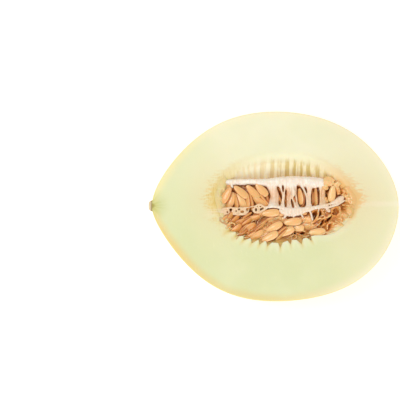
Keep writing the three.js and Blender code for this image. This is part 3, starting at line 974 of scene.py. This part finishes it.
def seed_grid(about, rows=18, columns=20):
    """One seed along X, its point at -X: a flat drop with a thin raised margin."""
    t = np.linspace(0, math.pi, rows + 1)[:, None]
    angle = np.linspace(0, 2 * math.pi, columns, endpoint=False)[None, :]
    size = about(1, 0.07)
    swell = np.sin(t) ** 0.8 * (1 - 0.22 * np.cos(t))
    across = np.cos(angle)
    x = -SEED_LENGTH / 2 * size * np.cos(t)
    y = SEED_WIDTH / 2 * about(1, 0.06) * swell * across
    flat = np.sign(np.sin(angle)) * np.abs(np.sin(angle)) ** 0.85
    margin = 1 - 0.3 * np.exp(-(((np.abs(across) - 0.8) / 0.09) ** 2))
    z = SEED_THICKNESS / 2 * swell * flat * margin
    z = z + about(0, 0.5) * (2 * x / SEED_LENGTH) ** 2 + about(0, 0.35) * (2 * y / SEED_WIDTH) ** 2
    edge = np.maximum(np.abs(across), smooth_step(0.9, 1.0, np.abs(np.cos(t))))
    point = (1 + np.cos(t)) / 2 + 0 * angle
    return xyz(x, y, z), edge, point


def seeds(material):
    about = spread_from(SEEDS_DRAW)
    points, faces = [], []
    attributes = {"edge": [], "point": [], "tone": []}
    for x, y, heading, roll, pitch, lift in [*CLEAR_SEEDS, *row_seeds(about)]:
        grid, edge, point = seed_grid(about)
        turn = Euler((math.radians(roll), -math.radians(pitch), math.radians(heading)), "XYZ")
        placed = grid @ np.array(turn.to_matrix()).T + [x, y, float(pulp_top(x, y)) + lift]
        placed[..., 2] -= max(0.0, placed[..., 2].max() - CUT_HEIGHT - PROUD)
        faces.append(grid_faces(*grid.shape[:2], True) + len(points) * edge.size)
        points.append(placed.reshape(-1, 3))
        attributes["edge"].append(edge.ravel())
        attributes["point"].append(point.ravel())
        tone = FLAT_SEED_TONE if abs(roll) < FLAT_SEED_ROLL else TURNED_SEED_TONE
        attributes["tone"].append(np.full(edge.size, about(tone, SEED_TONE_SPREAD)))
    points, faces = np.concatenate(points), np.concatenate(faces)
    attributes = {key: np.concatenate(parts) for key, parts in attributes.items()}
    return mesh_object("seeds", points, faces, attributes, [material], merge=SEED_MERGE_GAP)


# The pale tissue


def curve_through(places, steps):
    """A smooth curve through places of any number of values, as steps + 1 rows."""
    places = np.asarray(places, float)
    padded = np.concatenate([[2 * places[0] - places[1]], places, [2 * places[-1] - places[-2]]])
    rows = []
    for share in np.linspace(0, len(places) - 1, steps + 1):
        i = min(int(share), len(places) - 2)
        u = share - i
        a, b, c, d = padded[i : i + 4]
        square = 2 * a - 5 * b + 4 * c - d
        cube = 3 * b - a - 3 * c + d
        rows.append(0.5 * (2 * b + (c - a) * u + square * u**2 + cube * u**3))
    return np.array(rows)


def tube(places, steps=24, sides=10):
    """A closed tube along a curve through places given as [x, y, z, half width, half height]."""
    rows = curve_through(places, steps)
    middle = rows[:, None, :3]
    half_width, half_height = rows[:, 3:4], rows[:, 4:5]
    ahead = np.gradient(rows[:, :3], axis=0)
    ahead /= np.linalg.norm(ahead, axis=1)[:, None]
    side = xyz(-ahead[:, 1], ahead[:, 0], 0)
    side /= np.linalg.norm(side, axis=1)[:, None] + 1e-9
    up = np.cross(ahead, side)
    angle = np.linspace(0, 2 * math.pi, sides, endpoint=False)
    across, high = oblong(angle, 1, 1, 0.8, 0.8)
    points = middle + side[:, None] * (half_width * across)[..., None]
    points = points + up[:, None] * (half_height * high)[..., None]
    faces = grid_faces(steps + 1, sides, True).tolist()
    faces.append(list(range(sides)))
    faces.append(list(range(steps * sides, (steps + 1) * sides)))
    return points.reshape(-1, 3), faces


def tubes(all_places, **counts):
    """Several tubes as the points and faces of one mesh."""
    points, faces = [], []
    first = 0
    for places in all_places:
        more, sides = tube(places, **counts)
        faces += [[first + k for k in face] for face in sides]
        points.append(more)
        first += len(more)
    return np.concatenate(points), faces


# The band's path, as [x, y, half width].
BAND_PATH = [
    [-42.8, 18.2, 1.9],
    [-37.5, 18.7, 2.6],
    [-28, 18.6, 2.6],
    [-15, 18.9, 2.7],
    [-8, 18.3, 3.3],
    [-1, 18.3, 3.9],
    [7, 19.6, 3.7],
    [14, 20.1, 3.5],
    [21, 19.5, 4.2],
    [30, 18.3, 5],
    [38, 19.2, 3],
    [42, 20, 1],
]

# The seam's two ropes, which part round its holes at the stem end, and the mass between them.
SEAM_UPPER = [
    [-45, -3.4, 0.3],
    [-41, -2.8, 0.5],
    [-36, -1.4, 0.7],
    [-28, -1.6, 0.6],
    [-17, -0.9, 0.5],
    [-13, 1, 0.7],
    [-9.6, 1, 0.7],
    [-6.5, -1.3, 0.9],
    [-1, -0.4, 1],
    [5, -1.2, 1.2],
    [10, -2.6, 1.6],
    [16, -3, 1.8],
    [22, -2.4, 1.6],
    [28, -1.4, 1.1],
    [35, 0, 0.8],
    [43, 1.8, 0.9],
    [47, 3.4, 1.5],
    [50.5, 5.2, 2.4],
    [53.5, 7.2, 1.4],
]
SEAM_LOWER = [
    [-45, -7.4, 0.3],
    [-41, -6.7, 0.5],
    [-36, -6.2, 0.8],
    [-27, -6.8, 0.7],
    [-22, -6.4, 0.6],
    [-20.2, -4.8, 0.6],
    [-19.2, -2.6, 0.7],
]
SEAM_LOWER_LOOP = [
    [-16.4, -1.8, 0.6],
    [-15.8, -4.2, 0.7],
    [-12.2, -5.2, 0.8],
    [-9, -3.6, 0.7],
    [-5.6, -1.8, 0.7],
]
SEAM_MASS = [
    [4, -3.2, 1],
    [8, -4.6, 2.6],
    [13, -5.2, 3.2],
    [18, -4.8, 3],
    [23, -3.9, 1.8],
    [27.5, -3, 1.1],
    [33, -1.7, 0.8],
    [41, -1, 0.8],
    [46.9, 0.5, 0.8],
    [51.4, 2.6, 0.8],
    [54.5, 4.4, 0.5],
]

# The strands between band and seam, each as x and half width at the band, half way and at the
# seam, and how far it sags below the others half way.
STRANDS = [
    (-2.2, 3.2, 0.8, 3.7, -0.4, 4.4, 1.9),
    (4.2, 0.9, 6.9, 0.75, 6.2, 1, 0.5),
    (9, 1.1, 7.8, 0.7, 7, 1, 0.7),
    (11.2, 1.3, 10.6, 1, 11.2, 1.4, 2.6),
    (12.8, 0.7, 12.4, 0.6, 13, 0.9, 1.6),
    (15, 0.8, 13.9, 0.65, 17.4, 1.2, 0.6),
    (16.6, 1, 17, 0.75, 18.6, 1.2, 1.6),
    (20, 0.9, 25, 0.8, 26, 1.4, 0.6),
    (27.4, 2.8, 27.2, 1.6, 26.8, 2.2, 1),
    (35.8, 1.3, 35.8, 0.9, 36.2, 1.2, 1),
    (38.2, 2, 38.2, 1.6, 38.4, 1.8, 1.8),
]

# The rings round the seam's holes, as x, y and the two radii.
SEAM_RINGS = [
    (-33.3, -3, 1.6, 2.3),
    (-29, -3.9, 1.2, 1.3),
    (-24.4, -4.4, 2, 1.6),
    (-13.8, -2.9, 1.5, 1.9),
    (-10.5, -0.4, 1.2, 1),
]

# Fibres that run on from the seam over the flesh at the stem end.
STEM_FIBRES = [
    [[-36, -3.4, 0.7], [-40, -3.9, 0.5], [-44.5, -4.4, 0.3]],
    [[-37, -4.6, 0.8], [-41, -5.2, 0.5], [-45.5, -5.8, 0.3]],
    [[-36, -5.6, 0.6], [-39, -6.8, 0.5], [-43, -8.4, 0.3]],
]

# Short bits of tissue that fill the web out or hang from the band, as x and y at both ends, and
# the half width.
TISSUE_BITS = [
    (-39, -4.8, -36.6, -4.4, 1.3),
    (-31.1, -2, -30.9, -5.8, 0.6),
    (-27.9, -2.6, -27.2, -5.2, 0.8),
    (-21.8, -2.2, -21.4, -5.2, 0.8),
    (-12, -4.4, -11.2, -1.6, 0.8),
    (14.8, 15.4, 14.8, 7.2, 1.5),
    (-32.8, 17.6, -31.6, 14, 1.2),
    (9.4, -6.6, 7.4, -9.4, 0.9),
    (20.6, -6.4, 22.6, -9.2, 0.9),
    (14.6, -7.4, 15.2, -9.6, 0.7),
    (27.4, -3.2, 29.6, -11.2, 0.9),
    (34.6, -1.4, 33.9, -4.8, 0.6),
    (39.8, -1.6, 42.8, -4.6, 1.5),
    (-41, 17.6, -42.8, 13, 1),
]


def y_where(path, x):
    """Where a path that runs along X reaches a given x, as its y."""
    rows = curve_through(path, 200)
    return float(np.interp(x, rows[:, 0], rows[:, 1]))


def tissue_bar(path, height, drop=0.0):
    """A path's places as those of a tube of some height, its top a drop below the tissue's."""
    places = []
    for x, y, half in path:
        half_height = height / 2 * min(1, half / 1.4)
        top = TISSUE_TOP - drop + FIBRE_RISE * float(smooth_step(-37, -41, x) * smooth_step(-46, -43, x))
        places.append([x, y, top - half_height, half, half_height])
    return places


def strand(top_x, top_half, mid_x, mid_half, low_x, low_half, sag):
    """A strand from the band to the seam."""
    top_y = y_where(BAND_PATH, top_x)
    low_y = y_where(SEAM_UPPER, low_x)
    z = TISSUE_TOP - 2.2
    return [
        [top_x, top_y, z, top_half + 1.2, 2.4],
        [mix(top_x, mid_x, 0.55), mix(top_y, low_y, 0.3), z - sag * 0.8, mix(top_half, mid_half, 0.6), 1.7],
        [mid_x, mix(top_y, low_y, 0.55), z - sag, mid_half, 1.5],
        [mix(mid_x, low_x, 0.6), mix(top_y, low_y, 0.8), z - sag * 0.7, mix(mid_half, low_half, 0.5), 1.6],
        [low_x, low_y, z, low_half + 0.6, 1.9],
    ]


def ring(x, y, radius_x, radius_y):
    """A thin ring round a hole in the seam."""
    angles = np.linspace(0, 2 * math.pi, 9)
    z = TISSUE_TOP - 1.2
    return [[x + radius_x * math.cos(a), y + radius_y * math.sin(a), z, 0.6, 0.9] for a in angles]


def bit(from_x, from_y, to_x, to_y, half):
    """A short bit of tissue, thickest in its middle."""
    z = TISSUE_TOP - 1.6
    width = {0: 0.6, 0.5: 1, 1: 0.6}
    return [[mix(from_x, to_x, u), mix(from_y, to_y, u), z, half * width[u], 1.3] for u in width]


def tissue_places():
    """The places of every tube that the pale tissue is joined from."""
    return [
        tissue_bar(BAND_PATH, BAND_HEIGHT),
        tissue_bar(SEAM_UPPER, SEAM_HEIGHT),
        tissue_bar(SEAM_LOWER, SEAM_HEIGHT, 0.3),
        tissue_bar(SEAM_LOWER_LOOP, SEAM_HEIGHT, 0.3),
        *[tissue_bar(path, SEAM_HEIGHT) for path in STEM_FIBRES],
        tissue_bar(SEAM_MASS, SEAM_HEIGHT),
        *[strand(*row) for row in STRANDS],
        *[ring(*row) for row in SEAM_RINGS],
        *[bit(*row) for row in TISSUE_BITS],
    ]


def grown(name, places, material, relief, **counts):
    """Tubes grown together into one soft skin, its relief given as stretches and depths of noise."""
    raw = mesh_object(name, *tubes(places, **counts))
    remesh = raw.modifiers.new("grown", "REMESH")
    remesh.mode = "VOXEL"
    remesh.voxel_size = TISSUE_VOXEL * MM
    soften = raw.modifiers.new("soft", "SMOOTH")
    soften.factor = 0.6
    soften.iterations = 4
    evaluated = raw.evaluated_get(bpy.context.evaluated_depsgraph_get())
    shape = evaluated.to_mesh()
    place, normal = np.empty((2, len(shape.vertices) * 3))
    shape.vertices.foreach_get("co", place)
    shape.vertices.foreach_get("normal", normal)
    place = place.reshape(-1, 3) / MM
    normal = normal.reshape(-1, 3)
    faces = [list(p.vertices) for p in shape.polygons]
    evaluated.to_mesh_clear()
    bpy.data.objects.remove(raw)
    for seed, (stretch, depth) in enumerate(relief, 7):
        place = place + normal * depth * ripple(place, stretch, seed)[:, None]
    place[:, 2] = np.minimum(place[:, 2], CUT_HEIGHT + PROUD)
    return mesh_object(name, place, faces, {"deep": TISSUE_TOP - place[:, 2]}, [material])


def pale_tissue(material):
    """Band, seam, strands and rings."""
    relief = [((1.3, 7, 2.5), 0.28), ((3.5, 3.5, 3.5), 0.3)]
    return grown("pale_tissue", tissue_places(), material, relief)


def loop_places(x, y, z, radius, half, tilt, turn):
    """A ring round a place, tilted about X and then turned about Z."""
    places = []
    for a in np.linspace(0, 2 * math.pi, 9):
        point = Vector((radius * math.cos(a), 0.7 * radius * math.sin(a), 0))
        point.rotate(Euler((math.radians(tilt), 0, math.radians(turn)), "XYZ"))
        places.append([x + point.x, y + point.y, z + point.z, half, half])
    return places


# Ropes of pulp round the holes: the half width, then x, y and the lift above the pulp at each place.
PULP_ROPES = [
    (0.8, (34, -2.6, 1), (33.6, -7, 1), (31.4, -11, 0.8), (27.5, -14.5, 0.8)),
    (0.9, (36.4, -2.6, 1), (38, -6.2, 1), (39.8, -8.8, 0.8), (43.6, -6.8, 0.8)),
    (0.7, (34.6, -9, 0.8), (36.8, -9.8, 0.8), (39.4, -9.2, 0.8)),
    (0.7, (24.5, -13.6, 1.2), (29.5, -12.6, 1.2), (34, -9.8, 0.8)),
    (0.7, (25, -16.4, 1), (30, -14.8, 1), (34.5, -14.4, 1)),
    (0.9, (44.4, -2.6, 0.8), (46.6, -1.2, 0.8), (50, -0.4, 0.8), (50.6, -5, 0.5), (48.4, -7.6, 0.4)),
    (0.8, (51.6, -12.4, 0.4), (51.4, -7.6, 0.6), (53.6, -6, 0.6), (55, -9.6, 0.4)),
    (0.9, (54, 1.4, 0.6), (57.6, -0.6, 0.5), (60, -5, 0.4), (58.4, -9.4, 0.2)),
    (0.8, (40.6, -18.2, 0.8), (41, -14.2, 1), (44, -12.6, 0.8), (45.4, -15, 0.5)),
    (1, (12, -17.8, 1), (18, -17.6, 1.6), (24, -19.4, 1.4)),
    (0.8, (17, -20.5, 0.8), (24, -23.6, 0.8), (27, -22, 0.8)),
    (0.8, (-41, -8.6, 1), (-41, -12, 1), (-37.2, -13.6, 1.2), (-35.6, -10.6, 1.4)),
    (0.9, (-37, -17.6, 1), (-34, -13.4, 1.6), (-31.4, -8.6, 1.8)),
    (0.7, (-31, -20.4, 1), (-27.4, -16.4, 1.8), (-23.4, -13.6, 1.8)),
    (0.7, (-27.6, -22.6, 0.8), (-22.4, -17.6, 1.8), (-15.2, -14, 2.4)),
    (0.7, (-29.6, -10.6, 1.8), (-24.8, -10.6, 2.4), (-19.8, -8, 2.2)),
    (0.6, (-22, -24.4, 1), (-18, -19.4, 2), (-11.6, -15.4, 2.6)),
]

# Lumps of pulp level with the tissue: the half width, then x, y and the depth under the cut face.
HIGH_LUMPS = [
    (2.6, (38.2, 18.8, 3), (41.6, 19, 2.6), (45, 16.8, 3)),
    (2.6, (39.2, 19.8, 3.4), (42.6, 20.6, 3), (46.2, 18.4, 3)),
    (1.8, (36.6, 16.4, 3.4), (38.4, 13.2, 4.2)),
    (1.5, (39.6, 16.2, 3), (41, 12.8, 3.6)),
    (1.7, (46.4, 17.6, 2.4), (49.2, 13, 2.8), (50, 8.8, 3.2)),
    (1.8, (48.4, 18.6, 2.2), (50.8, 16, 1.9)),
    (1.5, (53, 12.6, 2), (55.2, 10.6, 1.7)),
    (1.5, (52.5, 9.5, 2.2), (56.5, 6.5, 1.8), (60.4, 5.6, 1.5)),
    (1.3, (54.5, 4.6, 1.8), (57.5, 3.2, 1.7), (60.2, 0, 1.5)),
    (1.2, (-41.2, 15, 1.2), (-42.8, 10.4, 1.1), (-42.4, 5.4, 1.1), (-40.4, 1.6, 1.3)),
    (1.4, (39.4, 7, 3.6), (41.2, 2.6, 3.4)),
]


def rope_places(half, *places):
    return [[x, y, float(pulp_top(x, y)) + lift, half, half] for x, y, lift in places]


def lump_places(half, *places):
    return [[x, y, CUT_HEIGHT - depth, half, min(half, depth)] for x, y, depth in places]


def end_fibres():
    """Short fibres that run out of the pulp over the flesh, like rays round the blossom end."""
    about = spread_from(FIBRES_DRAW)
    everything = []
    for i in range(FIBRE_COUNT):
        angle = math.radians(about(mix(*FIBRE_ANGLES, i / (FIBRE_COUNT - 1)), 4))
        inner = about(0.88, 0.06)
        outer = about(1.03, 0.05)
        half = about(0.55, 0.1)
        places = []
        for reach, depth, width in ((inner, 1.1, 1), (mix(inner, outer, 0.5), 0.5, 0.9), (outer, 0.5, 0.6)):
            x = CAVITY_RIM_X + RIM_LENGTH_BLOSSOM * reach * math.cos(angle)
            y = CAVITY_RIM_Y + CAVITY_HALF_WIDTH * reach * math.sin(angle)
            places.append([x, y, CUT_HEIGHT - depth, half * width, half])
        everything.append(places)
    return everything


def stringy_pulp(material):
    """Ropes, loops and lumps of orange pulp, most at the blossom end, with holes between them."""
    about = spread_from(LOOPS_DRAW)
    everything = [rope_places(*row) for row in PULP_ROPES] + [lump_places(*row) for row in HIGH_LUMPS]
    for i in range(LOOP_COUNT):
        share = i / (LOOP_COUNT - 1)
        x = about(mix(-36, 16, share), 3)
        y = about(mix(-14, -20, share), 4)
        z = float(pulp_top(x, y)) + about(1.4, 0.6)
        shape = (about(2.6, 0.8), about(0.6, 0.15), about(0, 25), about(30, 40))
        everything.append(loop_places(x, y, z, *shape))
    relief = [((2.5, 2.5, 2.5), 0.2), ((5, 5, 5), 0.4)]
    return grown("stringy_pulp", everything + end_fibres(), material, relief, steps=16, sides=8)


def thread_places(about):
    """A thin thread at a drawn place, highest in its middle and bowed to one side."""
    x = about(4, 40)
    y = about(-14, 11)
    heading = math.radians(about(30, 50))
    ahead_x, ahead_y = math.cos(heading), math.sin(heading)
    length = about(8, 4)
    lifts = (about(0.4, 0.8), about(2.6, 1.2), about(0.4, 0.8))
    bow = about(0, 1.5)
    half = about(0.28, 0.1)
    places = []
    for along, lift, side, width in zip((-0.5, 0, 0.5), lifts, (0, bow, 0), (0.6, 1, 0.6)):
        px = x + ahead_x * along * length
        py = y + ahead_y * along * length
        z = float(pulp_top(px, py)) + lift
        places.append([px - ahead_y * side, py + ahead_x * side, z, half * width, half * width])
    return places


def threads(material):
    """Thin threads that lie over the seeds."""
    about = spread_from(THREADS_DRAW)
    points, faces = tubes([thread_places(about) for _ in range(THREAD_COUNT)], steps=10, sides=6)
    points[:, 2] = np.minimum(points[:, 2], CUT_HEIGHT + PROUD)
    return mesh_object("threads", points, faces, materials=[material])


# Floor, light and camera


def floor():
    """A plain pale table top under the fruit."""
    size = 3.0
    corners = [(-size, -size, 0), (size, -size, 0), (size, size, 0), (-size, size, 0)]
    mesh = bpy.data.meshes.new("floor")
    mesh.from_pydata(corners, [], [(0, 1, 2, 3)])
    s = Shader("white_floor")
    s.surface.inputs["Emission Color"].default_value = (1, 1, 1, 1)
    s.surface.inputs["Emission Strength"].default_value = 0.42
    mesh.materials.append(s.finish((0.9, 0.9, 0.9, 1), 0.8))
    top = in_scene("floor", mesh)
    top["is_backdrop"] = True


def facing(direction):
    """The turn of a lamp or a camera that looks in a direction."""
    return Vector(direction).to_track_quat("-Z", "Y").to_euler()


def soft_light(name, place, size, watts, color=(1, 1, 1)):
    """A square lamp that faces the fruit."""
    data = bpy.data.lights.new(name, "AREA")
    data.size = size
    data.energy = watts
    data.color = color
    lamp = in_scene(name, data)
    lamp.location = place
    lamp.rotation_euler = facing(Vector((0, 0, CUT_HEIGHT * MM)) - Vector(place))


def lights():
    world = bpy.data.worlds.new("studio")
    bpy.context.scene.world = world
    world.use_nodes = True
    sky = world.node_tree.nodes["Background"]
    sky.inputs["Color"].default_value = (1.0, 1.0, 1.0, 1)
    sky.inputs["Strength"].default_value = 0.53
    soft_light("key", (-0.4, 0.1, 1.05), 0.4, 4.0, (1, 0.99, 0.975))
    soft_light("fill", (0.25, -0.85, 0.75), 0.7, 4.1)


def camera():
    data = bpy.data.cameras.new("camera")
    data.lens = LENS
    data.sensor_width = SENSOR_WIDTH
    eye = in_scene("camera", data)
    bpy.context.scene.camera = eye
    aim = Vector((AIM_X, AIM_Y, CUT_HEIGHT)) * MM
    distance = FRAME_WIDTH * MM * LENS / SENSOR_WIDTH
    elevation = math.radians(CAMERA_ELEVATION)
    back = Vector((0, -math.cos(elevation), math.sin(elevation)))
    eye.location = aim + back * distance
    eye.rotation_euler = facing(-back)
    bpy.context.scene.view_settings.view_transform = "Standard"


camera()
lights()
floor()
finished(melon_body(rind_material(), flesh_material()), "rind_and_flesh", "melon_half")
finished(stem_scar(scar_material()), "rind_and_flesh", "melon_half")
finished(pulp_bed(pulp_material()), "seeds_and_pulp", "seeds_and_pulp")
finished(seeds(seed_material()), "seeds_and_pulp", "seeds_and_pulp")
finished(stringy_pulp(stringy_material()), "seeds_and_pulp", "seeds_and_pulp")
finished(pale_tissue(tissue_material()), "placenta", "placenta")
finished(threads(filament_material()), "placenta", "placenta")

visual_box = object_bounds()
boxes = {"cad": cad_box, "visual": visual_box}
{name: [list(corner) for corner in box] for name, box in boxes.items()}
